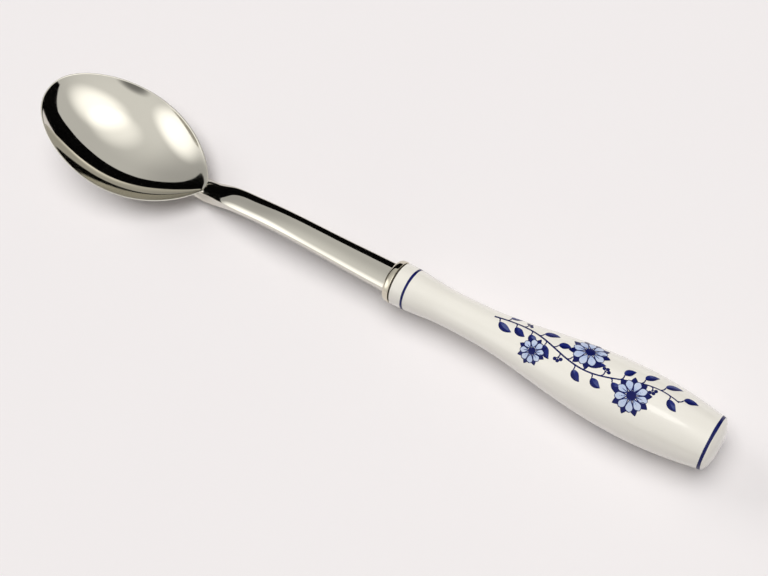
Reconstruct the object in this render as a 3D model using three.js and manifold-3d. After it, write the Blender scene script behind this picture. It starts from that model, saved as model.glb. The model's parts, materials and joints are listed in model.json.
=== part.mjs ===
import * as THREE from "three";
import { mergeVertices } from "three/addons/utils/BufferGeometryUtils.js";
import ManifoldModule from "manifold-3d";

// Salad serving spoon, in millimetres, +Z up, lying on z = 0 with the bowl towards -X.
// Lengths along the spoon are stations: 0 at the blue line behind the collar, positive to the butt.
// Heights are measured from the handle axis.

// Bowl: teardrop rim with a pointed heel, tilted up from the heel
const BOWL_LENGTH = 64.3;
const BOWL_HALF_WIDTH = 19.3;
const BOWL_DEPTH = 9.2;
const BOWL_FLOOR = 1.8;
const BOWL_TILT = THREE.MathUtils.degToRad(17.6);
const HEEL_STATION = -83.9;
const HEEL_HEIGHT = -3.6;
const HEEL_POWER = 0.8;
const TIP_POWER = 0.463;
const TIP_TAPER = 0.36;
const WALL_STEEPNESS = 0.44;
const BACK_STEEPNESS = 0.85;
const RIM_LAND = 0.5;
const RIM_EDGE = 0.35;
const RIM_SAG = 3;

// Ridge under the heel that takes the stem
const RIDGE_HEIGHT = 3.2;
const RIDGE_WIDTH = 3.5;
const RIDGE_LENGTH = 26;

// Stem: station, height, half width, half thickness
const COLLAR_FRONT = -7.6;
const STEM_STATIONS = [
  [COLLAR_FRONT, 0.5, 4.9, 3.1],
  [-18, 0.8, 4.7, 2.95],
  [-30, 1.5, 4.2, 2.75],
  [-42, 2.35, 3.8, 2.55],
  [-54, 2.3, 3.58, 2.4],
  [-64, 1.1, 3.55, 2.3],
  [-72, -0.75, 3.4, 2.2],
  [-79, -3.25, 3.1, 2],
  [-84, -5.1, 2.7, 1.7],
  [-89, -6.8, 2, 1.1],
];
const STEM_ROUNDNESS = 2.4;

// Tang: rounded square bar inside the handle
const TANG_END = 52;
const TANG_ROOT = 2.5;
const TANG_TIP = 1.6;
const TANG_ROUNDNESS = 4;

// Collar bead
const COLLAR_WIDTH = 2.5;
const COLLAR_RADIUS = 7.15;
const COLLAR_FACE = 5.9;
const COLLAR_ROUND = 1.5;
const COLLAR_BACK_ROUND = 0.3;

// Porcelain handle: station and outer radius up to the butt line, then a domed butt
const JOINT = 0.5;
const HANDLE_FRONT = COLLAR_FRONT + COLLAR_WIDTH + JOINT;
const FRONT_RADIUS = 7.1;
const FRONT_ROUND = 0.3;
const HANDLE_OUTLINE = [
  [0, 6.95],
  [10, 6.05],
  [20.5, 5.92],
  [32.7, 6.55],
  [46, 8.38],
  [61.4, 10.36],
  [75, 11.12],
  [92, 10.15],
];
const BUTT_LINE = 102.3;
const BUTT_RADIUS = 8.5;
const BUTT_HEIGHT = 2.8;
const BUTT_FLAT = 2.6;

// Hollow of the handle
const MOUTH_RADIUS = 4.4;
const MOUTH_DEPTH = 4;
const BORE_RADIUS = 3.5;
const BORE_END = 26;
const HOLLOW_RADIUS = 7.6;
const HOLLOW_WIDEST = 72;
const HOLLOW_END = 98;

// Cement round the tang, with a thin bed between the collar and the handle
const CEMENT_END = 57;
const BED_RADIUS = 6.5;
const CLEARANCE = 0.15;

// Widest lean tried when the spoon is laid on the table
const MOST_LEAN = THREE.MathUtils.degToRad(8);

// Fineness of the curved surfaces
const TURNS = 48;
const RIM_STEPS = 72;
const WALL_STEPS = 9;
const STEM_STEPS = 27;
const SECTION_STEPS = 28;

const kernel = await ManifoldModule();
kernel.setup();

function toSolid(geometry) {
  const bare = new THREE.BufferGeometry();
  bare.setAttribute("position", geometry.getAttribute("position"));
  bare.setIndex(geometry.index);
  const merged = mergeVertices(bare, 1e-4);
  return new kernel.Manifold(
    new kernel.Mesh({
      numProp: 3,
      vertProperties: merged.getAttribute("position").array,
      triVerts: new Uint32Array(merged.index.array),
    }),
  );
}

function toGeometry(solid) {
  const mesh = solid.getMesh();
  const geometry = new THREE.BufferGeometry();
  geometry.setAttribute("position", new THREE.BufferAttribute(mesh.vertProperties, 3));
  geometry.setIndex(new THREE.BufferAttribute(mesh.triVerts, 1));
  geometry.computeVertexNormals();
  return geometry;
}

// Closed skin through rings of equal length, closed by a point at each end.
function skin(rings, firstPole, lastPole) {
  const count = rings[0].length;
  const points = [firstPole, ...rings.flat(), lastPole];
  const last = points.length - 1;
  const faces = [];
  const at = (ring, step) => 1 + ring * count + (step % count);
  for (let step = 0; step < count; step++) {
    faces.push(0, at(0, step + 1), at(0, step));
    for (let ring = 0; ring + 1 < rings.length; ring++) {
      faces.push(at(ring, step), at(ring, step + 1), at(ring + 1, step));
      faces.push(at(ring, step + 1), at(ring + 1, step + 1), at(ring + 1, step));
    }
    faces.push(last, at(rings.length - 1, step), at(rings.length - 1, step + 1));
  }
  const geometry = new THREE.BufferGeometry().setFromPoints(points);
  geometry.setIndex(faces);
  return geometry;
}

// Solid of revolution about the spoon's axis from [station, radius] points that start and end on the axis.
function turned(profile) {
  const points = profile.map(([station, radius]) => new THREE.Vector2(radius, station));
  return toSolid(new THREE.LatheGeometry(points, TURNS).rotateZ(-Math.PI / 2));
}

// Points on a quarter of an ellipse, from its start direction to its end direction.
function quarter(centre, across, up, from, to, steps) {
  return Array.from({ length: steps + 1 }, (_, i) => {
    const angle = THREE.MathUtils.lerp(from, to, i / steps);
    return [centre[0] + across * Math.cos(angle), centre[1] + up * Math.sin(angle)];
  });
}

// Rounded section across the spoon, turning about the direction of travel.
function section(centre, travel, halfWidth, halfThickness, roundness) {
  const side = new THREE.Vector3(0, 1, 0);
  const up = new THREE.Vector3().crossVectors(travel, side);
  return Array.from({ length: SECTION_STEPS }, (_, i) => {
    const angle = (2 * Math.PI * i) / SECTION_STEPS;
    const swell = (value) => Math.sign(value) * Math.abs(value) ** (2 / roundness);
    return centre
      .clone()
      .addScaledVector(side, halfWidth * swell(Math.cos(angle)))
      .addScaledVector(up, halfThickness * swell(Math.sin(angle)));
  });
}

// Half width of the teardrop at a fraction of its length from the heel, 1 at its widest.
function teardropShape(part) {
  return part ** HEEL_POWER * (1 - part) ** TIP_POWER * (1 - TIP_TAPER * part);
}
const WIDEST = Math.max(...Array.from({ length: 400 }, (_, i) => teardropShape(i / 400)));
function teardrop(fraction) {
  return teardropShape(THREE.MathUtils.clamp(fraction, 0, 1)) / WIDEST;
}

function rimHeight(along) {
  const part = along / BOWL_LENGTH;
  return -4 * RIM_SAG * part * (1 - part);
}

// How far a hollow of the given outline lies below the rim at a point.
function hollowDepth(outline, along, across) {
  const wide = teardrop((along - outline.start) / outline.length);
  const fill = Math.max(0, wide ** 2 - (across / outline.halfWidth) ** 2);
  return outline.depth * fill * (1 + outline.steepness * (1 - fill));
}

function ridge(along, across) {
  const fade = THREE.MathUtils.smoothstep(1 - along / RIDGE_LENGTH, 0, 1);
  return RIDGE_HEIGHT * fade * Math.exp(-((across / RIDGE_WIDTH) ** 2));
}

const outside = {
  start: 0,
  length: BOWL_LENGTH,
  halfWidth: BOWL_HALF_WIDTH,
  depth: BOWL_DEPTH + BOWL_FLOOR - RIM_EDGE,
  steepness: BACK_STEEPNESS,
};
const inside = {
  start: 1.4 * RIM_LAND,
  length: BOWL_LENGTH - 2.4 * RIM_LAND,
  halfWidth: BOWL_HALF_WIDTH - RIM_LAND,
  depth: BOWL_DEPTH,
  steepness: WALL_STEEPNESS,
};
const insideHeight = (along, across) => rimHeight(along) - hollowDepth(inside, along, across);
const outsideHeight = (along, across) =>
  rimHeight(along) - RIM_EDGE - hollowDepth(outside, along, across) - ridge(along, across);

// One ring of the bowl: the outline drawn in towards the middle by a fraction, on a height function.
const BOWL_MIDDLE = BOWL_LENGTH / 2;
function bowlRing(outline, reach, height) {
  return Array.from({ length: RIM_STEPS }, (_, i) => {
    const angle = (2 * Math.PI * i) / RIM_STEPS;
    const fraction = (1 - Math.cos(angle)) / 2;
    const rimAlong = outline.start + fraction * outline.length;
    const rimAcross = Math.sign(Math.sin(angle)) * outline.halfWidth * teardrop(fraction);
    const along = THREE.MathUtils.lerp(BOWL_MIDDLE, rimAlong, reach);
    const across = rimAcross * reach;
    return new THREE.Vector3(along, across, height(along, across));
  });
}

function bowlSolid() {
  const reaches = Array.from({ length: WALL_STEPS }, (_, i) => Math.sin((Math.PI / 2) * ((i + 1) / WALL_STEPS)));
  const rings = [
    ...reaches.map((reach) => bowlRing(inside, reach, insideHeight)),
    bowlRing(outside, 1, rimHeight),
    ...reaches.toReversed().map((reach) => bowlRing(outside, reach, outsideHeight)),
  ];
  const poles = [insideHeight, outsideHeight].map(
    (height) => new THREE.Vector3(BOWL_MIDDLE, 0, height(BOWL_MIDDLE, 0)),
  );
  const placed = new THREE.Matrix4().makeBasis(
    new THREE.Vector3(-Math.cos(BOWL_TILT), 0, Math.sin(BOWL_TILT)),
    new THREE.Vector3(0, -1, 0),
    new THREE.Vector3(Math.sin(BOWL_TILT), 0, Math.cos(BOWL_TILT)),
  );
  placed.setPosition(HEEL_STATION, 0, HEEL_HEIGHT);
  return toSolid(skin(rings, ...poles).applyMatrix4(placed));
}

function stemSolid() {
  const path = new THREE.CatmullRomCurve3(
    STEM_STATIONS.map(([station, height]) => new THREE.Vector3(station, 0, height)),
  );
  const girth = new THREE.SplineCurve(
    STEM_STATIONS.map(([, , halfWidth, halfThickness]) => new THREE.Vector2(halfWidth, halfThickness)),
  );
  const rings = Array.from({ length: STEM_STEPS }, (_, i) => {
    const part = i / (STEM_STEPS - 1);
    const size = girth.getPoint(part);
    const travel = i === 0 ? new THREE.Vector3(-1, 0, 0) : path.getTangent(part);
    return section(path.getPoint(part), travel, size.x, size.y, STEM_ROUNDNESS);
  });
  return toSolid(skin(rings, path.getPoint(0), path.getPoint(1)));
}

// The tang, or the hole for it when a clearance is given.
function tangSolid(clearance) {
  const ends = [
    [COLLAR_FRONT - 2, TANG_ROOT],
    [TANG_END + clearance, TANG_TIP],
  ];
  const travel = new THREE.Vector3(1, 0, 0);
  const centres = ends.map(([station]) => new THREE.Vector3(station, 0, 0));
  const rings = ends.map(([, half], i) =>
    section(centres[i], travel, half + clearance, half + clearance, TANG_ROUNDNESS),
  );
  return toSolid(skin(rings, ...centres));
}

function collarSolid() {
  const back = COLLAR_FRONT + COLLAR_WIDTH;
  const bead = quarter(
    [COLLAR_FRONT + COLLAR_ROUND, COLLAR_FACE],
    COLLAR_ROUND,
    COLLAR_RADIUS - COLLAR_FACE,
    Math.PI,
    Math.PI / 2,
    6,
  );
  const backEdge = quarter(
    [back - COLLAR_BACK_ROUND, COLLAR_RADIUS - COLLAR_BACK_ROUND],
    COLLAR_BACK_ROUND,
    COLLAR_BACK_ROUND,
    Math.PI / 2,
    0,
    3,
  );
  return turned([[COLLAR_FRONT, 0], ...bead, ...backEdge, [back, 0]]);
}

function handleSolid() {
  const side = new THREE.SplineCurve(
    [[HANDLE_FRONT + FRONT_ROUND, FRONT_RADIUS], ...HANDLE_OUTLINE, [BUTT_LINE, BUTT_RADIUS]].map(
      ([station, radius]) => new THREE.Vector2(station, radius),
    ),
  );
  const edge = quarter(
    [HANDLE_FRONT + FRONT_ROUND, FRONT_RADIUS - FRONT_ROUND],
    FRONT_ROUND,
    FRONT_ROUND,
    Math.PI,
    Math.PI / 2,
    3,
  );
  const flatAngle = Math.acos(BUTT_FLAT / BUTT_RADIUS);
  const dome = quarter([BUTT_LINE, 0], BUTT_HEIGHT, BUTT_RADIUS, Math.PI / 2, Math.PI / 2 - flatAngle, 8);
  const buttEnd = dome.at(-1)[0];
  return turned([
    [HANDLE_FRONT, 0],
    ...edge,
    ...side.getPoints(27).slice(1, -1).map(({ x, y }) => [x, y]),
    ...dome,
    [buttEnd, 0],
  ]);
}

// The hollow of the handle up to a station, or all of it, drawn in by a clearance.
function hollowProfile(front, end, inset) {
  const widening = Array.from({ length: 9 }, (_, i) => {
    const part = i / 8;
    const station = THREE.MathUtils.lerp(BORE_END, HOLLOW_WIDEST, part);
    return [station, THREE.MathUtils.lerp(BORE_RADIUS, HOLLOW_RADIUS, (1 - Math.cos(Math.PI * part)) / 2)];
  });
  const closing = quarter([HOLLOW_WIDEST, 0], HOLLOW_END - HOLLOW_WIDEST, HOLLOW_RADIUS, Math.PI / 2, 0, 6);
  const step = HANDLE_FRONT + MOUTH_DEPTH;
  const wall = [
    [front, MOUTH_RADIUS],
    [step, MOUTH_RADIUS],
    [step + MOUTH_RADIUS - BORE_RADIUS, BORE_RADIUS],
    ...widening,
    ...closing.slice(1, -1),
  ].filter(([station]) => station < end);
  return [[front, 0], ...wall.map(([station, radius]) => [station, radius - inset]), [end, 0]];
}

const bowl = bowlSolid();
const head = bowl.add(stemSolid()).add(tangSolid(0));
const tangHole = tangSolid(CLEARANCE);
const collar = collarSolid().subtract(tangHole);
const handle = handleSolid().subtract(turned(hollowProfile(HANDLE_FRONT - 1, HOLLOW_END, 0)));
const bedFront = COLLAR_FRONT + COLLAR_WIDTH;
const bed = turned([
  [bedFront, 0],
  [bedFront, BED_RADIUS],
  [HANDLE_FRONT, BED_RADIUS],
  [HANDLE_FRONT, 0],
]);
const plug = turned(hollowProfile(HANDLE_FRONT - JOINT / 2, CEMENT_END, CLEARANCE));
const cement = bed.add(plug).subtract(tangHole);

const steel = { color: 0xc9c6bf, metalness: 1, roughness: 0.12 };
const pieces = [
  ["spoon_head", head, steel],
  ["collar_ring", collar, steel],
  ["porcelain_handle", handle, { color: 0xf0ece2, metalness: 0, roughness: 0.15 }],
  ["tang_cement", cement, { color: 0x8d8a84, metalness: 0, roughness: 0.9 }],
];

const spoon = new THREE.Group();
for (const [name, solid, look] of pieces) {
  const mesh = new THREE.Mesh(toGeometry(solid), new THREE.MeshStandardMaterial(look));
  mesh.name = name;
  spoon.add(mesh);
}

// Lowest point of a mesh when the spoon leans about the Y axis.
function lowest(mesh, lean) {
  const position = mesh.geometry.getAttribute("position");
  const heights = Array.from({ length: position.count }, (_, i) => {
    return position.getZ(i) * Math.cos(lean) - position.getX(i) * Math.sin(lean);
  });
  return heights.reduce((low, height) => Math.min(low, height), Infinity);
}

// The spoon rests on its bowl and on the swell of its handle: the lean that brings both down to the table.
function restingLean(front, back) {
  let low = -MOST_LEAN;
  let high = MOST_LEAN;
  for (let halving = 0; halving < 40; halving++) {
    const middle = (low + high) / 2;
    if (lowest(front, middle) > lowest(back, middle)) high = middle;
    else low = middle;
  }
  return (low + high) / 2;
}

const lean = restingLean(spoon.getObjectByName("spoon_head"), spoon.getObjectByName("porcelain_handle"));
for (const mesh of spoon.children) mesh.geometry.rotateY(lean);

// The spoon lies on the table, with its middle over the origin.
const box = new THREE.Box3().setFromObject(spoon);
const middle = box.getCenter(new THREE.Vector3());
for (const mesh of spoon.children) mesh.geometry.translate(-middle.x, 0, -box.min.z);

export default spoon;
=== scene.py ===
import json
import math

import bmesh
import bpy
import numpy as np
from mathutils import Matrix, Vector
from mathutils.kdtree import KDTree


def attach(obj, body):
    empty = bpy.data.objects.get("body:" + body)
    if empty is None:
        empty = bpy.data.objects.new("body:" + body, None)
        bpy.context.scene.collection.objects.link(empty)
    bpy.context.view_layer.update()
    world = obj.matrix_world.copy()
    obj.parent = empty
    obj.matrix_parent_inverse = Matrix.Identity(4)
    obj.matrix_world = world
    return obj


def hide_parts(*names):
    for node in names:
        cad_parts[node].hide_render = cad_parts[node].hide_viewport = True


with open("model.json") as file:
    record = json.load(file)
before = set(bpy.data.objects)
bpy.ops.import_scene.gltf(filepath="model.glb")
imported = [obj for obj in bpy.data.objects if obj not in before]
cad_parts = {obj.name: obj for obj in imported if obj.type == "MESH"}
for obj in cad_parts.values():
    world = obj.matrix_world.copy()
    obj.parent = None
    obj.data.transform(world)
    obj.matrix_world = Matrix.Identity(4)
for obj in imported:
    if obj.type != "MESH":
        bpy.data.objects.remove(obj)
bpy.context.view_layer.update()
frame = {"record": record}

MM = 0.001

# Bowl, in millimetres: along runs from the heel to the tip, across to the side, heights from the heel
BOWL_LENGTH = 65
BOWL_HALF_WIDTH = 19.3
BOWL_DEPTH = 9.2
BOWL_FLOOR = 1.8
BOWL_TILT = math.radians(17.6)
BOWL_MIDDLE = BOWL_LENGTH / 2
HEEL_STATION = -83.6
HEEL_HEIGHT = -3.05
HEEL_POWER = 0.76
TIP_POWER = 0.463
TIP_TAPER = 0.36
WALL_STEEPNESS = 0.44
BACK_STEEPNESS = 0.85
HEEL_FULLNESS = 0.9
HOLLOW_SKEW = 0.09
RIM_EDGE = 0.35
RIM_SAG = 3
EDGE_SOFTNESS = 0.006
NARROWEST = 0.05
RIDGE_HEIGHT = 3.2
RIDGE_WIDTH = 3.5
RIDGE_LENGTH = 26
BACK_INSET = 0.985
WIDTH_SAMPLES = 401

# Land on the rim: its width at the sides, how many times that at the heel and the tip, and its level share
RIM_LAND = 0.4
HEEL_LAND = 1.4
TIP_LAND = 1
LEVEL_SHARE = 0.7

# Rings of points on the bowl
RIM_STEPS = 288
WALL_RINGS = 45
LAND_RINGS = 9
EDGE_RINGS = 7

# Room in the bowl that the stem keeps out of: below the bowl's inside and above its rim
HOLLOW_SINK = 0.06
HOLLOW_TOP = 4

# Stem: station, height, half width, half thickness, how upright its flanks are, how much wider its foot is
COLLAR_FRONT = -7.6
STEM_STATIONS = np.array([
    (COLLAR_FRONT, 0.5, 4.9, 3.1, 1.14, 0),
    (-18, 0.8, 4.7, 2.95, 1.14, 0),
    (-30, 1.3, 4.4, 2.85, 1.14, 0),
    (-42, 2, 4.2, 2.7, 1.14, 0),
    (-54, 1.9, 4.05, 2.6, 1.14, 0),
    (-64, 0.7, 4, 2.5, 1.14, 0),
    (-72, -0.75, 3.65, 2.45, 1.2, 0.15),
    (-79, -3.3, 2.75, 2.4, 1.35, 0.6),
    (-84, -4.8, 2.4, 2.05, 1.4, 0.9),
    (-89, -5.5, 2.3, 1.05, 1.3, 0.8),
    (-95, -5.3, 1.4, 0.4, 1.2, 0.5),
])
FLANK_SHARPNESS = 24
STEM_RINGS = 170
SECTION_STEPS = 144

# Seam between bowl and stem; its lengths are in metres
SEAM_MATCH = 1e-7
SEAM_REACH = 0.5 * MM
SEAM_ROUNDS = 20
SEAM_PULL = 0.5
HEAD_WELD = 0.004 * MM

# Collar bead
COLLAR_WIDTH = 2.5
COLLAR_RADIUS = 7.15
COLLAR_FACE = 5.9
COLLAR_ROUND = 1.5
COLLAR_BACK_ROUND = 0.3
BEAD_STEPS = 16
COLLAR_TURNS = 128

# Porcelain handle: station and outer radius
JOINT = 0.5
HANDLE_FRONT = COLLAR_FRONT + COLLAR_WIDTH + JOINT
FRONT_RADIUS = 7.1
FRONT_ROUND = 0.3
HANDLE_OUTLINE = [
    (0, 6.95),
    (10, 6.05),
    (20.5, 5.92),
    (32.7, 6.55),
    (46, 8.38),
    (61.4, 10.36),
    (75, 11.12),
    (92, 10.15),
]
BUTT_LINE = 102.3
BUTT_RADIUS = 8.5
BUTT_HEIGHT = 2.8
BUTT_FLAT = 2.6
BUTT_STEPS = 24
SIDE_RINGS = 218
HANDLE_TURNS = 160
SMALL_ROUND_STEPS = 6

# Cement joint
BED_RADIUS = 6.5
BED_TURNS = 96

# The mount on the butt gives the handle's axis and where it ends.
butt = frame["record"]["mounts"][0]
AXIS = Vector(butt["axis"]).normalized()
ACROSS = Vector((0, 1, 0))
UP = AXIS.cross(ACROSS)
BUTT_STATION = BUTT_LINE + BUTT_HEIGHT * math.sqrt(1 - (BUTT_FLAT / BUTT_RADIUS) ** 2)
START = Vector(butt["pos_m"]) - AXIS * BUTT_STATION * MM


def place(points):
    """Station, across and height in millimetres to the frame, in metres."""
    turn = np.array([AXIS, ACROSS, UP])
    return np.asarray(points, float) @ turn * MM + np.array(START)


def make_mesh(name, points, faces):
    mesh = bpy.data.meshes.new(name)
    mesh.from_pydata([tuple(p) for p in place(points)], [], [tuple(f) for f in faces])
    mesh.polygons.foreach_set("use_smooth", [True] * len(mesh.polygons))
    mesh.update()
    piece = bpy.data.objects.new(name, mesh)
    bpy.context.scene.collection.objects.link(piece)
    return piece


def skin_faces(rings, count):
    """Faces of a closed skin through rings of count points, with a pole at either end."""
    last = rings * count + 1
    faces = []
    for step in range(count):
        after = (step + 1) % count
        faces.append((0, 1 + after, 1 + step))
        for ring in range(rings - 1):
            low, high = 1 + ring * count, 1 + (ring + 1) * count
            faces.append((low + step, low + after, high + after, high + step))
        top = 1 + (rings - 1) * count
        faces.append((last, top + step, top + after))
    return faces


def spline(knots, values, at):
    """Natural cubic spline through values at the knots."""
    knots, values, at = np.asarray(knots, float), np.asarray(values, float), np.asarray(at, float)
    gap = np.diff(knots)
    size = len(knots)
    system, right = np.eye(size), np.zeros(size)
    for i in range(1, size - 1):
        system[i, i - 1 : i + 2] = gap[i - 1], 2 * (gap[i - 1] + gap[i]), gap[i]
        right[i] = 6 * ((values[i + 1] - values[i]) / gap[i] - (values[i] - values[i - 1]) / gap[i - 1])
    bend = np.linalg.solve(system, right)
    i = np.clip(np.searchsorted(knots, at, side="right") - 1, 0, size - 2)
    left, rest = at - knots[i], knots[i + 1] - at
    return (
        (bend[i] * rest**3 + bend[i + 1] * left**3) / (6 * gap[i])
        + (values[i] / gap[i] - bend[i] * gap[i] / 6) * rest
        + (values[i + 1] / gap[i] - bend[i + 1] * gap[i] / 6) * left
    )


def arc(centre, across, up, start, end, steps):
    angles = np.linspace(start, end, steps + 1)
    return [(centre[0] + across * math.cos(a), centre[1] + up * math.sin(a)) for a in angles]


def turned_piece(name, profile, steps):
    """Solid of revolution from (station, radius) points, the first and last on the axis."""
    angle = np.linspace(0, 2 * math.pi, steps, endpoint=False)
    rings = [
        np.stack([np.full(steps, station), radius * np.cos(angle), radius * np.sin(angle)], 1)
        for station, radius in profile[1:-1]
    ]
    poles = [np.array([profile[i][0], 0, 0]) for i in (0, -1)]
    return make_mesh(name, np.vstack([poles[0], *rings, poles[1]]), skin_faces(len(rings), steps))


def outward(piece):
    shape = bmesh.new()
    shape.from_mesh(piece.data)
    bmesh.ops.recalc_face_normals(shape, faces=shape.faces)
    shape.to_mesh(piece.data)
    shape.free()
    return piece


def welded(piece, reach):
    """Joins points within reach, splits many-sided faces, drops those without area or folded together."""
    shape = bmesh.new()
    shape.from_mesh(piece.data)
    bmesh.ops.remove_doubles(shape, verts=shape.verts, dist=reach)
    bmesh.ops.dissolve_degenerate(shape, dist=reach, edges=shape.edges)
    bmesh.ops.triangulate(shape, faces=[face for face in shape.faces if len(face.verts) > 4])
    alike = {}
    for face in shape.faces:
        alike.setdefault(frozenset(face.verts), []).append(face)
    folded = [face for faces in alike.values() if len(faces) > 1 for face in faces]
    bmesh.ops.delete(shape, geom=folded, context="FACES")
    loose = [v for v in shape.verts if not v.link_faces]
    bmesh.ops.delete(shape, geom=loose, context="VERTS")
    shape.to_mesh(piece.data)
    shape.free()
    return piece


def combine(piece, tool, operation):
    """Boolean of two pieces; the second one is used up."""
    step = piece.modifiers.new("combine", "BOOLEAN")
    step.operation = operation
    step.solver = "EXACT"
    step.object = tool
    bpy.context.view_layer.update()
    joined = bpy.data.meshes.new_from_object(piece.evaluated_get(bpy.context.evaluated_depsgraph_get()))
    piece.modifiers.clear()
    piece.data = joined
    bpy.data.objects.remove(tool)
    return piece


def smooth_step(part):
    return part * part * (3 - 2 * part)


def soften_seam(mesh, known, reach, rounds):
    """Smooths a mesh round the line where two skins meet: points that lie on neither of the known skins."""
    tree = KDTree(len(known))
    for index, point in enumerate(known):
        tree.insert(point, index)
    tree.balance()
    points = np.array([v.co for v in mesh.vertices])
    seam = [i for i, point in enumerate(points) if tree.find(point)[2] > SEAM_MATCH]
    seam_tree = KDTree(len(seam))
    for i in seam:
        seam_tree.insert(points[i], i)
    seam_tree.balance()
    share = np.array([max(0.0, 1 - seam_tree.find(point)[2] / reach) for point in points])
    share = smooth_step(share)
    edges = np.array([e.vertices[:] for e in mesh.edges])
    edges = edges[(share[edges] > 0).any(1)]
    degree = np.zeros(len(points))
    np.add.at(degree, edges.ravel(), 1)
    for _ in range(rounds):
        total = np.zeros_like(points)
        np.add.at(total, edges[:, 0], points[edges[:, 1]])
        np.add.at(total, edges[:, 1], points[edges[:, 0]])
        mean = total / np.maximum(degree, 1)[:, None]
        points = points + SEAM_PULL * share[:, None] * (mean - points)
    mesh.vertices.foreach_set("co", points.ravel())
    mesh.update()


def teardrop_shape(part):
    return part**HEEL_POWER * (1 - part) ** TIP_POWER * (1 - TIP_TAPER * part)


WIDEST = teardrop_shape(np.linspace(0, 1, WIDTH_SAMPLES)).max()


def teardrop(fraction):
    return teardrop_shape(np.clip(fraction, 0, 1)) / WIDEST


def rim_height(along):
    part = along / BOWL_LENGTH
    return -4 * RIM_SAG * part * (1 - part)


OUTSIDE = {
    "start": 0,
    "length": BOWL_LENGTH,
    "half_width": BOWL_HALF_WIDTH,
    "depth": BOWL_DEPTH + BOWL_FLOOR - RIM_EDGE,
    "steepness": BACK_STEEPNESS,
    "fullness": 0,
    "skew": 0,
}
INSIDE = {
    "start": HEEL_LAND * RIM_LAND,
    "length": BOWL_LENGTH - (HEEL_LAND + TIP_LAND) * RIM_LAND,
    "half_width": BOWL_HALF_WIDTH - RIM_LAND,
    "depth": BOWL_DEPTH,
    "steepness": WALL_STEEPNESS,
    "fullness": HEEL_FULLNESS,
    "skew": HOLLOW_SKEW,
}


def hollow_depth(outline, along, across):
    """Depth of a hollow below the rim, with a softly rounded edge, fuller at the heel and to one side."""
    part = np.clip((along - outline["start"]) / outline["length"], 0, 1)
    aside = across / outline["half_width"]
    wide = teardrop(part)
    fill = wide**2 - aside**2
    fill = (fill + np.sqrt(fill**2 + EDGE_SOFTNESS**2)) / 2
    wide = np.maximum(wide, NARROWEST)
    fuller = outline["fullness"] * (1 - part) ** 2 * (1 + np.clip(aside / wide, -1, 1)) / 2
    fill = fill / wide**fuller
    return outline["depth"] * fill * (1 + outline["steepness"] * (1 - fill)) * (1 + outline["skew"] * aside)


def inside_height(along, across):
    return rim_height(along) - hollow_depth(INSIDE, along, across)


def outside_height(along, across):
    """The underside, with a ridge below the heel that fades towards the middle."""
    fade = np.clip(1 - along / RIDGE_LENGTH, 0, 1)
    fade = smooth_step(fade)
    ridge = RIDGE_HEIGHT * fade * np.exp(-((across / RIDGE_WIDTH) ** 2))
    return rim_height(along) - RIM_EDGE - hollow_depth(OUTSIDE, along, across) - ridge


def bowl_ring(reach, mix, height):
    """The outline drawn in by reach, between the inside outline at mix 0 and the outside one at mix 1."""
    angle = np.linspace(0, 2 * math.pi, RIM_STEPS, endpoint=False)
    fraction = (1 - np.cos(angle)) / 2
    start, length, half_width = (
        INSIDE[size] + mix * (OUTSIDE[size] - INSIDE[size]) for size in ("start", "length", "half_width")
    )
    along = BOWL_MIDDLE + (start + fraction * length - BOWL_MIDDLE) * reach
    across = np.sign(np.sin(angle)) * half_width * teardrop(fraction) * reach
    return np.stack([along, across, height(along, across)], 1)


def tilted(local):
    """Along, across and height in the bowl to station, across and height on the spoon."""
    along, across, height = local.T
    cos, sin = math.cos(BOWL_TILT), math.sin(BOWL_TILT)
    return np.stack(
        [HEEL_STATION - along * cos + height * sin, -across, HEEL_HEIGHT + along * sin + height * cos], 1
    )


WALL_REACH = np.sin(np.linspace(0, math.pi / 2, WALL_RINGS + 1)[1:])
MIDDLE = np.array([BOWL_MIDDLE]), np.zeros(1)


def hollow_points():
    """The room in the bowl, a little deeper than the bowl and open above its rim."""

    def sunk(along, across):
        return inside_height(along, across) - HOLLOW_SINK

    rings = [bowl_ring(reach, 0, sunk) for reach in WALL_REACH]
    rings.append(bowl_ring(1, 0, lambda along, across: rim_height(along) + HOLLOW_TOP))
    poles = [np.array([BOWL_MIDDLE, 0, sunk(*MIDDLE)[0]]), np.array([BOWL_MIDDLE, 0, HOLLOW_TOP])]
    return tilted(np.vstack([poles[0], *rings, poles[1]])), len(rings)


def bowl_points():
    """Rings up the inside, over the land and the rounded edge of the rim, and down the back."""
    rings = [bowl_ring(reach, 0, inside_height) for reach in WALL_REACH]
    rings += [bowl_ring(1, mix, inside_height) for mix in np.linspace(0, LEVEL_SHARE, LAND_RINGS + 1)[1:]]
    for turn in np.linspace(0, math.pi, EDGE_RINGS + 2)[1:-1]:
        drop = RIM_EDGE * (1 - math.cos(turn)) / 2
        mix = LEVEL_SHARE + (1 - LEVEL_SHARE) * math.sin(turn)
        rings.append(bowl_ring(1, mix, lambda along, across: rim_height(along) - drop))
    rings += [bowl_ring(reach * BACK_INSET, 1, outside_height) for reach in WALL_REACH[::-1]]
    poles = [np.array([BOWL_MIDDLE, 0, height(*MIDDLE)[0]]) for height in (inside_height, outside_height)]
    return tilted(np.vstack([poles[0], *rings, poles[1]])), len(rings)


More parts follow.
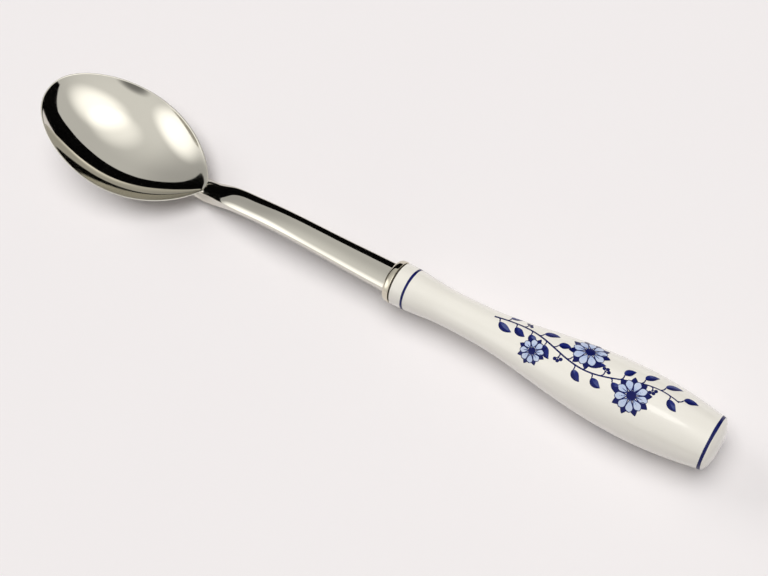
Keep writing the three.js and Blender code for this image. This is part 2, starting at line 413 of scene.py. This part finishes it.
def stem_points():
    """Domed above and below, with upright flanks where it is cut off at its width, and a wider foot."""
    stations = STEM_STATIONS[::-1]
    at = np.linspace(stations[0, 0], stations[-1, 0], STEM_RINGS)
    height, half_width, half_thickness, spread, foot = (
        spline(stations[:, 0], column, at) for column in stations.T[1:]
    )
    slope = np.gradient(height, at)
    slope[-1] = 0
    angle = np.linspace(0, 2 * math.pi, SECTION_STEPS, endpoint=False)
    rings = []
    for i in range(STEM_RINGS):
        lean = math.atan(slope[i])
        rise = half_thickness[i] * np.sin(angle)
        side = spread[i] * np.cos(angle)
        side = side / (1 + np.abs(side) ** FLANK_SHARPNESS) ** (1 / FLANK_SHARPNESS)
        wide = half_width[i] * side * (1 + foot[i] * (1 - np.sin(angle)) / 2)
        rings.append(np.stack([at[i] - rise * math.sin(lean), wide, height[i] + rise * math.cos(lean)], 1))
    poles = [np.array([at[i], 0, height[i]]) for i in (0, -1)]
    return np.vstack([poles[0], *rings, poles[1]])


points, ring_count = bowl_points()
bowl = outward(make_mesh("spoon_bowl_and_stem", points, skin_faces(ring_count, RIM_STEPS)))
stem = outward(make_mesh("stem", stem_points(), skin_faces(STEM_RINGS, SECTION_STEPS)))
points, ring_count = hollow_points()
hollow = outward(make_mesh("hollow", points, skin_faces(ring_count, RIM_STEPS)))
combine(stem, hollow, "DIFFERENCE")
bowl_skin, stem_skin = ([v.co.copy() for v in piece.data.vertices] for piece in (bowl, stem))
head = combine(bowl, stem, "UNION")
soften_seam(head.data, bowl_skin + stem_skin, SEAM_REACH, SEAM_ROUNDS)
welded(head, HEAD_WELD)

collar_back = COLLAR_FRONT + COLLAR_WIDTH
collar_bead = arc(
    (COLLAR_FRONT + COLLAR_ROUND, COLLAR_FACE),
    COLLAR_ROUND,
    COLLAR_RADIUS - COLLAR_FACE,
    math.pi,
    math.pi / 2,
    BEAD_STEPS,
)
collar_edge = arc(
    (collar_back - COLLAR_BACK_ROUND, COLLAR_RADIUS - COLLAR_BACK_ROUND),
    COLLAR_BACK_ROUND,
    COLLAR_BACK_ROUND,
    math.pi / 2,
    0,
    SMALL_ROUND_STEPS,
)
collar_profile = [(COLLAR_FRONT, 0), *collar_bead, *collar_edge, (collar_back, 0)]
collar = outward(turned_piece("collar_bead", collar_profile, COLLAR_TURNS))

side_knots, side_values = np.array(
    [(HANDLE_FRONT + FRONT_ROUND, FRONT_RADIUS), *HANDLE_OUTLINE, (BUTT_LINE, BUTT_RADIUS)]
).T


def handle_radius(station):
    return spline(side_knots, side_values, station)


side_stations = np.linspace(side_knots[0], side_knots[-1], SIDE_RINGS + 2)[1:-1]
front_edge = arc(
    (HANDLE_FRONT + FRONT_ROUND, FRONT_RADIUS - FRONT_ROUND),
    FRONT_ROUND,
    FRONT_ROUND,
    math.pi,
    math.pi / 2,
    SMALL_ROUND_STEPS,
)
butt_dome = arc(
    (BUTT_LINE, 0),
    BUTT_HEIGHT,
    BUTT_RADIUS,
    math.pi / 2,
    math.asin(BUTT_FLAT / BUTT_RADIUS),
    BUTT_STEPS,
)
handle_profile = [
    (HANDLE_FRONT, 0),
    *front_edge,
    *zip(side_stations, handle_radius(side_stations)),
    *butt_dome,
    (BUTT_STATION, 0),
]
handle = outward(turned_piece("porcelain_grip", handle_profile, HANDLE_TURNS))
bed_profile = [(collar_back, 0), (collar_back, BED_RADIUS), (HANDLE_FRONT, BED_RADIUS), (HANDLE_FRONT, 0)]
bed = outward(turned_piece("cement_joint", bed_profile, BED_TURNS))

# Painted decoration: drawn in (station, distance round the handle) and laid just over the glaze
PAINT_LIFT = 0.02
LAYER_LIFT = 0.0003
PAINT_WELD = 0.0001 * MM
SPRIG_TURN = math.radians(6)
DEEP = 1.0
WASH = 0.14

# Leaf shape, and dot rings as shares of the dot's radius
LEAF_ROWS = 15
LEAF_COLUMNS = 9
LEAF_STRAIGHT = 0.3
LEAF_FULLEST = 0.8
LEAF_ROUNDNESS = 0.9
DOT_STEPS = 21
DOT_RINGS = 0.01, 0.6, 1

# Branch: lengths are times its size, turns in radians, and "varies" is how far twigs and leaves differ
BRANCH_STEPS = 120
BRANCH_WAVES = 1.3
BRANCH_PHASE = 0.4
BRANCH_CALM = 0.6
BRANCH_WIDTH = 0.55
BRANCH_THINS = 0.2
TWIGS = 22
TWIG_FIRST, TWIG_LAST = 0.02, 0.99
TWIG_ANGLE = math.radians(58)
TWIG_LENGTH = 1.5
TWIG_VARIES = 0.4
TWIG_PACE = 3.1
TWIG_BOW = 0.3
TWIG_WIDTH = 0.34
TWIG_STEPS = 10
BERRY_EVERY = 5
BERRY_TWIG = 3
BERRY_FAN = -1.0, 0, 1.0
BERRY_STALK_WIDTH = 0.25
BERRY_STALK_STEPS = 4
BERRY_RADIUS = 0.52
LEAF_LENGTH = 4.3
LEAF_VARIES = 0.7
LEAF_PACE = 2.3
LEAF_WIDTH = 2.2
LEAF_TURN = 0.3
LEAF_BEND = 0.75
LEAF_LIGHT = 0.74

# Daisy: lengths are times its radius, apart from the widths of the lines
SEPAL_LENGTH = 0.62
SEPAL_WIDTH = 0.42
PETAL_ROWS = 17
PETAL_COLUMNS = 7
PETAL_ROOT = 0.22
PETAL_SPREAD = 0.92
PETAL_FROM = 0.12
PETAL_FULLEST = 1.5
PETAL_ROUNDNESS = 0.75
PETAL_WAIST = 0.35
PETAL_SHADE = 0.6
PETAL_FADE = 4
PETAL_LINE = 0.3
VEIN_LENGTH = 0.7
VEIN_STEPS = 6
VEIN_WIDTHS = 0.5, 0.1
EYE_RADIUS = 0.3

# Painted lines: how a brush's width and path waver round the handle, as (size, waves, phase)
LINE_STEPS = 241
LINE_ROWS = 5
LINE_WIDTH_WAVERS = (0.06, 3, 0.7), (0.04, 7, 0)
LINE_PATH_WAVER = 0.04, 2, 0
LINE_TONE = 0.9


def unit(angle):
    return np.array([math.cos(angle), math.sin(angle)])


def add_tones(mesh, tones):
    tone = mesh.attributes.new("tone", "FLOAT", "POINT")
    tone.data.foreach_set("value", np.asarray(tones, np.float32).ravel())


class Painting:
    """Flat shapes painted on the handle, each over the last, in one mesh with a tone for every point."""

    def __init__(self, turn):
        self.turn = turn
        self.points, self.tones, self.layers, self.faces = [], [], [], []
        self.layer = 0

    def add_grid(self, grid, tones):
        """A grid of (station, round) points with a tone each."""
        rows, columns = grid.shape[:2]
        first = len(self.points)
        self.points += [tuple(p) for p in grid.reshape(-1, 2)]
        self.tones += list(np.broadcast_to(tones, (rows, columns)).ravel())
        self.layers += [self.layer] * (rows * columns)
        self.layer += 1
        for row in range(rows - 1):
            for column in range(columns - 1):
                corner = first + row * columns + column
                self.faces.append((corner, corner + 1, corner + columns + 1, corner + columns))

    def stroke(self, line, wide):
        """A brush line of changing width."""
        line = np.asarray(line, float)
        along = np.gradient(line, axis=0)
        side = np.stack([-along[:, 1], along[:, 0]], 1)
        side /= np.linalg.norm(side, axis=1, keepdims=True)
        half = np.broadcast_to(wide, len(line))[:, None] / 2
        self.add_grid(np.stack([line - side * half, line, line + side * half], 1), DEEP)

    def leaf(self, root, heading, length, wide, bend=0.0, light=DEEP):
        """An almond leaf that curves to one side, with one half dark and the other in its own tone."""
        part = np.linspace(0, 1, LEAF_ROWS)
        turn = heading + bend * (part - LEAF_STRAIGHT)
        step = length / (LEAF_ROWS - 1)
        rib = np.cumsum(np.stack([np.cos(turn), np.sin(turn)], 1) * step, 0) - step * unit(turn[0])
        side = np.stack([-np.sin(turn), np.cos(turn)], 1)
        half = wide / 2 * np.sin(math.pi * part**LEAF_FULLEST) ** LEAF_ROUNDNESS
        spread = np.linspace(-1, 1, LEAF_COLUMNS)
        grid = np.array(root) + rib[:, None] + side[:, None] * half[:, None, None] * spread[None, :, None]
        self.add_grid(grid, np.where(spread < 0, DEEP, light))

    def dot(self, centre, radius):
        angle = np.linspace(0, 2 * math.pi, DOT_STEPS)
        circle = np.stack([np.cos(angle), np.sin(angle)], 1)
        rings = np.array(DOT_RINGS)[:, None, None] * radius
        self.add_grid(np.array(centre) + rings * circle, DEEP)

    def piece(self, name):
        station, distance = np.array(self.points).T
        radius = handle_radius(station)
        angle = self.turn + distance / radius
        radius = radius + PAINT_LIFT + LAYER_LIFT * np.array(self.layers)
        made = make_mesh(
            name, np.stack([station, radius * np.sin(angle), radius * np.cos(angle)], 1), self.faces
        )
        add_tones(made.data, self.tones)
        return welded(outward(made), PAINT_WELD)


def branch(painting, start, end, lift, sway, size):
    """A waving branch with twigs to both sides that end in a leaf or in berries."""
    station = np.linspace(start, end, BRANCH_STEPS)
    part = (station - start) / (end - start)
    swing = np.sin(2 * math.pi * BRANCH_WAVES * part + BRANCH_PHASE)
    wave = lift * (1 - part) + sway * swing * (BRANCH_CALM + (1 - BRANCH_CALM) * part)
    painting.stroke(np.stack([station, wave], 1), size * (BRANCH_WIDTH - BRANCH_THINS * part))
    slope = np.gradient(wave, station)
    for count, fraction in enumerate(np.linspace(TWIG_FIRST, TWIG_LAST, TWIGS)):
        root = np.array([np.interp(fraction, part, station), np.interp(fraction, part, wave)])
        side = 1 if count % 2 else -1
        turn = math.atan(np.interp(fraction, part, slope)) + side * TWIG_ANGLE
        reach = size * (TWIG_LENGTH + TWIG_VARIES * math.sin(TWIG_PACE * count))
        tip = root + reach * unit(turn)
        bow = np.linspace(0, 1, TWIG_STEPS)[:, None]
        sideways = side * TWIG_BOW * size * np.array([math.sin(turn), -math.cos(turn)])
        painting.stroke(root + (tip - root) * bow + np.sin(math.pi * bow) * sideways, size * TWIG_WIDTH)
        if count % BERRY_EVERY == BERRY_TWIG:
            for spoke in BERRY_FAN:
                berry = tip + size * unit(turn + spoke)
                painting.stroke(np.linspace(tip, berry, BERRY_STALK_STEPS), size * BERRY_STALK_WIDTH)
                painting.dot(berry, size * BERRY_RADIUS)
        else:
            length = size * (LEAF_LENGTH + LEAF_VARIES * math.cos(LEAF_PACE * count))
            heading = turn - side * LEAF_TURN
            painting.leaf(tip, heading, length, size * LEAF_WIDTH, bend=-side * LEAF_BEND, light=LEAF_LIGHT)


def daisy(painting, centre, radius, petals, turn):
    """A round flower: a ring of dark leaf points, washed petals with dark outlines and a dark middle."""
    centre = np.array(centre)
    for petal in range(petals):
        heading = turn + 2 * math.pi * (petal + 0.5) / petals
        root = centre + unit(heading) * radius * SEPAL_LENGTH
        painting.leaf(root, heading, radius * SEPAL_LENGTH, radius * SEPAL_WIDTH)
    part = np.linspace(0, 1, PETAL_ROWS)
    reach = radius * (PETAL_ROOT + (1 - PETAL_ROOT) * part)
    bulge = np.sin(math.pi * (PETAL_FROM + (1 - PETAL_FROM) * part) ** PETAL_FULLEST) ** PETAL_ROUNDNESS
    half = radius * math.pi / petals * PETAL_SPREAD * bulge * (PETAL_WAIST + (1 - PETAL_WAIST) * part)
    spread = np.linspace(-1, 1, PETAL_COLUMNS)
    tones = (WASH + PETAL_SHADE * (1 - part) ** PETAL_FADE)[:, None]
    for petal in range(petals):
        heading = turn + 2 * math.pi * petal / petals
        ahead, aside = unit(heading), np.array([-math.sin(heading), math.cos(heading)])
        rib = centre + ahead * reach[:, None]
        painting.add_grid(rib[:, None] + aside * half[:, None, None] * spread[None, :, None], tones)
        edge = np.vstack([rib + aside * half[:, None], (rib - aside * half[:, None])[::-1][1:]])
        painting.stroke(edge, PETAL_LINE)
        vein = np.linspace(centre, centre + ahead * radius * VEIN_LENGTH, VEIN_STEPS)
        painting.stroke(vein, np.linspace(*VEIN_WIDTHS, VEIN_STEPS))
    painting.dot(centre, radius * EYE_RADIUS)


def line_piece(name, station, wide):
    """A painted line round the handle, a little uneven as a brush leaves it."""
    angle = np.linspace(0, 2 * math.pi, LINE_STEPS)

    def waver(size, waves, phase):
        return size * np.sin(waves * angle + phase)

    uneven = sum(waver(*wobble) for wobble in LINE_WIDTH_WAVERS)
    offsets = np.linspace(-0.5, 0.5, LINE_ROWS)
    grid = station + offsets[:, None] * wide * (1 + uneven) + waver(*LINE_PATH_WAVER)
    radius = handle_radius(np.minimum(grid, BUTT_LINE)) + PAINT_LIFT
    beyond = np.clip((grid - BUTT_LINE) / BUTT_HEIGHT, 0, 1)
    radius = np.where(grid > BUTT_LINE, BUTT_RADIUS * np.sqrt(1 - beyond**2) + PAINT_LIFT, radius)
    points = np.stack([grid, radius * np.sin(angle), radius * np.cos(angle)], 2).reshape(-1, 3)
    corners = [row * LINE_STEPS + i for row in range(LINE_ROWS - 1) for i in range(LINE_STEPS - 1)]
    faces = [(first, first + 1, first + LINE_STEPS + 1, first + LINE_STEPS) for first in corners]
    made = make_mesh(name, points, faces)
    tones = LINE_TONE + (DEEP - LINE_TONE) * np.cos(offsets * math.pi)
    add_tones(made.data, np.repeat(tones, LINE_STEPS))
    return outward(made)


front_painting = Painting(SPRIG_TURN)
branch(front_painting, start=29, end=90, lift=1.5, sway=3.2, size=1.1)
daisy(front_painting, (45, -3.1), radius=3.7, petals=8, turn=0.2)
daisy(front_painting, (60.5, 4.6), radius=5.2, petals=9, turn=0.4)
daisy(front_painting, (77.5, -2.6), radius=4.8, petals=9, turn=0.1)
back_painting = Painting(SPRIG_TURN + math.pi)
branch(back_painting, start=40, end=88, lift=0, sway=2.6, size=0.95)
daisy(back_painting, (56, -2.8), radius=3.6, petals=8, turn=0.3)
daisy(back_painting, (72, 3.2), radius=4, petals=9, turn=0.1)
paint_pieces = [
    front_painting.piece("painted_sprig_front"),
    back_painting.piece("painted_sprig_back"),
    line_piece("painted_line_collar", station=0, wide=0.85),
    line_piece("painted_line_butt", station=BUTT_LINE, wide=0.95),
]


def new_material(name):
    """A material with its nodes, links and shader."""
    material = bpy.data.materials.new(name)
    material.use_nodes = True
    nodes, links = material.node_tree.nodes, material.node_tree.links
    return material, nodes, links, nodes["Principled BSDF"]


def set_inputs(node, settings):
    for socket, value in settings.items():
        node.inputs[socket].default_value = value


def noise(nodes, links, scale, detail, stretch=(1, 1, 1)):
    """Noise in the piece's own space, in cycles per metre."""
    place_in = nodes.new("ShaderNodeTexCoord")
    mapping = nodes.new("ShaderNodeMapping")
    texture = nodes.new("ShaderNodeTexNoise")
    set_inputs(mapping, {"Scale": stretch})
    set_inputs(texture, {"Scale": scale, "Detail": detail})
    links.new(place_in.outputs["Object"], mapping.inputs["Vector"])
    links.new(mapping.outputs["Vector"], texture.inputs["Vector"])
    return texture.outputs["Fac"]


def mix_colours(nodes, links, share, first, second):
    mix = nodes.new("ShaderNodeMix")
    mix.data_type = "RGBA"
    set_inputs(mix, {"A": (*first, 1), "B": (*second, 1)})
    links.new(share, mix.inputs["Factor"])
    return mix.outputs["Result"]


def steel_material(name, light, dark):
    """Mirror-polished steel: faint cloudy tint, fine polishing marks in the gloss."""
    material, nodes, links, shader = new_material(name)
    set_inputs(shader, {"Metallic": 1})
    cloud = noise(nodes, links, scale=60, detail=3)
    links.new(mix_colours(nodes, links, cloud, dark, light), shader.inputs["Base Color"])
    marks = noise(nodes, links, scale=900, detail=4, stretch=(0.15, 1, 1))
    gloss = nodes.new("ShaderNodeMapRange")
    set_inputs(gloss, {"From Min": 0.3, "From Max": 0.7, "To Min": 0.03, "To Max": 0.075})
    links.new(marks, gloss.inputs["Value"])
    links.new(gloss.outputs["Result"], shader.inputs["Roughness"])
    return material


def porcelain_material():
    """White porcelain under clear glaze, with a faint warm mottling and glaze ripple."""
    material, nodes, links, shader = new_material("glazed_porcelain")
    mottle = noise(nodes, links, scale=45, detail=3)
    tint = mix_colours(nodes, links, mottle, (0.845, 0.82, 0.75), (0.865, 0.845, 0.785))
    links.new(tint, shader.inputs["Base Color"])
    set_inputs(shader, {"Roughness": 0.35, "Specular IOR Level": 0.2})
    set_inputs(shader, {"Coat Weight": 0.9, "Coat IOR": 1.55, "Coat Roughness": 0.1})
    ripple = nodes.new("ShaderNodeBump")
    set_inputs(ripple, {"Distance": 0.00004, "Strength": 0.6})
    links.new(noise(nodes, links, scale=140, detail=1), ripple.inputs["Height"])
    links.new(ripple.outputs["Normal"], shader.inputs["Normal"])
    return material


# Paint from a thin wash to a deep brush stroke: tone and colour
PAINT_TONES = [
    (0, (0.62, 0.68, 0.80)),
    (0.3, (0.42, 0.52, 0.76)),
    (0.75, (0.012, 0.02, 0.16)),
    (1, (0.003, 0.006, 0.085)),
]
PAINT_POOLING = 0.35


def paint_material():
    """Cobalt brushwork under the same glaze, pooled darker in places."""
    material, nodes, links, shader = new_material("cobalt_paint")
    tone = nodes.new("ShaderNodeAttribute")
    tone.attribute_name = "tone"
    lighter = nodes.new("ShaderNodeMath")
    lighter.operation = "SUBTRACT"
    lighter.inputs[1].default_value = PAINT_POOLING / 2
    links.new(tone.outputs["Fac"], lighter.inputs[0])
    pooled = nodes.new("ShaderNodeMath")
    pooled.operation = "MULTIPLY_ADD"
    pooled.inputs[1].default_value = PAINT_POOLING
    links.new(noise(nodes, links, scale=420, detail=3), pooled.inputs[0])
    links.new(lighter.outputs["Value"], pooled.inputs[2])
    ramp = nodes.new("ShaderNodeValToRGB")
    while len(ramp.color_ramp.elements) < len(PAINT_TONES):
        ramp.color_ramp.elements.new(0.5)
    for element, (position, colour) in zip(ramp.color_ramp.elements, PAINT_TONES):
        element.position = position
        element.color = (*colour, 1)
    links.new(pooled.outputs["Value"], ramp.inputs["Fac"])
    links.new(ramp.outputs["Color"], shader.inputs["Base Color"])
    set_inputs(shader, {"Roughness": 0.35, "Specular IOR Level": 0.1})
    set_inputs(shader, {"Coat Weight": 0.25, "Coat Roughness": 0.08})
    return material


def cement_material():
    """Dark line of cement between collar and porcelain."""
    material, nodes, links, shader = new_material("cement")
    grain = noise(nodes, links, scale=1500, detail=3)
    tint = mix_colours(nodes, links, grain, (0.03, 0.025, 0.02), (0.09, 0.08, 0.065))
    links.new(tint, shader.inputs["Base Color"])
    set_inputs(shader, {"Roughness": 0.85})
    return material


head_steel = steel_material("polished_steel", light=(0.685, 0.662, 0.595), dark=(0.645, 0.622, 0.555))
collar_steel = steel_material("collar_steel", light=(0.69, 0.65, 0.55), dark=(0.62, 0.57, 0.46))
dressed = [
    (head, "spoon_head", "polished_steel", head_steel),
    (collar, "collar_ring", "collar_steel", collar_steel),
    (handle, "porcelain_handle", "glazed_porcelain", porcelain_material()),
    (bed, "tang_cement", "cement", cement_material()),
]
cobalt = paint_material()
dressed += [(piece, None, "glazed_porcelain", cobalt) for piece in paint_pieces]
for piece, node, slot, material in dressed:
    piece.data.materials.clear()
    piece.data.materials.append(material)
    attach(piece, "root")
    if node:
        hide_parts(node)


def direction(azimuth, elevation):
    """Unit vector towards an azimuth, 0 at -Y and 90 at +X, and an elevation, in degrees."""
    a, e = math.radians(azimuth), math.radians(elevation)
    return Vector((math.sin(a) * math.cos(e), -math.cos(a) * math.cos(e), math.sin(e)))


def stage_sheet(name, corners, faces, material):
    mesh = bpy.data.meshes.new(name)
    mesh.from_pydata(corners, [], faces)
    mesh.materials.append(material)
    sheet = bpy.data.objects.new(name, mesh)
    bpy.context.scene.collection.objects.link(sheet)
    return sheet


# Floor
FLOOR_HALF = 3.0
floor_material, nodes, links, shader = new_material("pale_floor")
floor_tint = noise(nodes, links, scale=12, detail=2)
links.new(
    mix_colours(nodes, links, floor_tint, (0.86, 0.835, 0.85), (0.872, 0.848, 0.862)),
    shader.inputs["Base Color"],
)
set_inputs(shader, {"Roughness": 0.9, "Specular IOR Level": 0.1})
corners = [(-1, -1), (1, -1), (1, 1), (-1, 1)]
floor_corners = [(x * FLOOR_HALF, y * FLOOR_HALF, 0) for x, y in corners]
stage_sheet("floor", floor_corners, [(0, 1, 2, 3)], floor_material)

# Dark curtain behind the table, seen only in reflections
CURTAIN_MIDDLE = Vector((-0.095, 0, 0.012))
CURTAIN_DISTANCE = 0.34
# Azimuth and height of the curtain's upper edge as seen from the bowl, in degrees
CURTAIN_EDGE = [
    (82, 10.5),
    (100, 15),
    (125, 18),
    (132, 21.5),
    (140, 27.5),
    (150, 33.5),
    (158, 38),
    (166, 41.5),
    (178, 44),
    (190, 45),
    (200, 44.5),
    (212, 42.5),
    (225, 40),
    (236, 38),
    (245, 36.5),
    (252, 35.5),
    (260, 34),
    (266, 32),
    (272, 29),
    (278, 25),
    (284, 21),
    (292, 18),
    (300, 14),
    (306, 9),
]
curtain_material, nodes, links, shader = new_material("dark_curtain")
set_inputs(shader, {"Base Color": (0.004, 0.004, 0.004, 1), "Roughness": 1, "Specular IOR Level": 0})
curtain_points = []
for azimuth, height in CURTAIN_EDGE:
    edge_point = CURTAIN_MIDDLE + direction(azimuth, height) * CURTAIN_DISTANCE
    foot_point = CURTAIN_MIDDLE + direction(azimuth, 0) * CURTAIN_DISTANCE
    foot_point.z = 0
    curtain_points += [foot_point, edge_point]
curtain_faces = [(2 * i, 2 * i + 2, 2 * i + 3, 2 * i + 1) for i in range(len(CURTAIN_EDGE) - 1)]
curtain = stage_sheet("dark_curtain", curtain_points, curtain_faces, curtain_material)
curtain.visible_camera = curtain.visible_diffuse = False
curtain.visible_shadow = curtain.visible_transmission = False

# Camera of the photograph, in the spoon's stations, across and heights
CAMERA_AT = (134.957, -102.062, 372.963)
CAMERA_RIGHT = (0.83292, 0.52239, -0.18261)
CAMERA_TOP = (-0.42984, 0.81855, 0.38107)
FOCAL_PIXELS = 1299.7
PHOTO_WIDTH = 768
spoon_turn = Matrix((AXIS, ACROSS, UP)).transposed()
right = (spoon_turn @ Vector(CAMERA_RIGHT)).normalized()
back = right.cross(spoon_turn @ Vector(CAMERA_TOP)).normalized()
top = back.cross(right)
lens = bpy.data.cameras.new("camera")
lens.lens = FOCAL_PIXELS / PHOTO_WIDTH * lens.sensor_width
camera = bpy.data.objects.new("camera", lens)
camera_turn = Matrix((right, top, back)).transposed().to_4x4()
camera.matrix_world = Matrix.Translation(Vector(place([CAMERA_AT])[0])) @ camera_turn
bpy.context.scene.collection.objects.link(camera)
bpy.context.scene.camera = camera

# World: a soft dome for light, a pale backdrop, and for reflections a pale tent with glows and shades
DOME_LEVEL = 0.22
TENT_LEVEL = 0.66
# Azimuth, elevation, inner and outer angle in degrees, and level, which is below 0 for a shade
GLOWS = [
    (65, 46, 0, 34, 0.85),
    (317, 30, 6, 29, 1),
    (8, 42, 10, 76, 0.25),
    (72, 69, 3, 28, 0.48),
    (260, 26, 2, 53, -0.18),
    (2, 5, 4, 15, -0.65),
]
world = bpy.data.worlds.new("studio")
bpy.context.scene.world = world
world.use_nodes = True
nodes, links = world.node_tree.nodes, world.node_tree.links
dome = nodes["Background"]
set_inputs(dome, {"Color": (1, 0.985, 0.975, 1), "Strength": DOME_LEVEL})
look = nodes.new("ShaderNodeTexCoord")


def glow(azimuth, elevation, inner, outer, level):
    """A soft glow round a direction: full inside the inner angle, gone at the outer one."""
    dot = nodes.new("ShaderNodeVectorMath")
    dot.operation = "DOT_PRODUCT"
    dot.inputs[1].default_value = direction(azimuth, elevation)
    links.new(look.outputs["Generated"], dot.inputs[0])
    soft = nodes.new("ShaderNodeMapRange")
    soft.interpolation_type = "SMOOTHSTEP"
    set_inputs(
        soft,
        {
            "From Min": math.cos(math.radians(outer)),
            "From Max": math.cos(math.radians(inner)),
            "To Max": level,
        },
    )
    links.new(dot.outputs["Value"], soft.inputs["Value"])
    return soft.outputs["Result"]


tent_level = None
for setting in GLOWS:
    total = nodes.new("ShaderNodeMath")
    if tent_level is None:
        total.inputs[0].default_value = TENT_LEVEL
    else:
        links.new(tent_level, total.inputs[0])
    links.new(glow(*setting), total.inputs[1])
    tent_level = total.outputs["Value"]
tent = nodes.new("ShaderNodeBackground")
set_inputs(tent, {"Color": (1, 0.99, 0.965, 1)})
links.new(tent_level, tent.inputs["Strength"])
backdrop = nodes.new("ShaderNodeBackground")
set_inputs(backdrop, {"Color": (0.87, 0.845, 0.855, 1)})
rays = nodes.new("ShaderNodeLightPath")
shiny = nodes.new("ShaderNodeMixShader")
links.new(rays.outputs["Is Glossy Ray"], shiny.inputs["Fac"])
links.new(dome.outputs["Background"], shiny.inputs[1])
links.new(tent.outputs["Background"], shiny.inputs[2])
either = nodes.new("ShaderNodeMath")
either.operation = "MAXIMUM"
links.new(rays.outputs["Is Camera Ray"], either.inputs[0])
links.new(rays.outputs["Is Transmission Ray"], either.inputs[1])
seen = nodes.new("ShaderNodeMixShader")
links.new(either.outputs["Value"], seen.inputs["Fac"])
links.new(shiny.outputs["Shader"], seen.inputs[1])
links.new(backdrop.outputs["Background"], seen.inputs[2])
links.new(seen.outputs["Shader"], nodes["World Output"].inputs["Surface"])

LAMP_COLOUR = (1, 0.985, 0.96)


def soft_sun(name, azimuth, elevation, spread, strength):
    """Even light from a wide patch of the studio's ceiling or wall, kept out of the reflections."""
    light = bpy.data.lights.new(name, "SUN")
    light.angle = math.radians(spread)
    light.energy = strength
    light.color = LAMP_COLOUR
    lamp = bpy.data.objects.new(name, light)
    lamp.rotation_mode = "QUATERNION"
    lamp.rotation_quaternion = (-direction(azimuth, elevation)).to_track_quat("-Z", "Y")
    lamp.visible_glossy = False
    bpy.context.scene.collection.objects.link(lamp)
    return lamp


soft_sun("ceiling_light", azimuth=185, elevation=86, spread=52, strength=2.15)
soft_sun("wall_light", azimuth=262, elevation=30, spread=30, strength=0.7)

# A faint lamp that only the glaze mirrors, as a soft line along the handle
glaze_lamp = soft_sun("glaze_lamp", azimuth=30, elevation=85.2, spread=18, strength=0.22)
glaze_lamp.visible_glossy = True
glaze_lamp.visible_diffuse = False
glazed = bpy.data.collections.new("glazed")
glazed.objects.link(handle)
glaze_lamp.light_linking.receiver_collection = glazed

bpy.context.scene.view_settings.view_transform = "Standard"
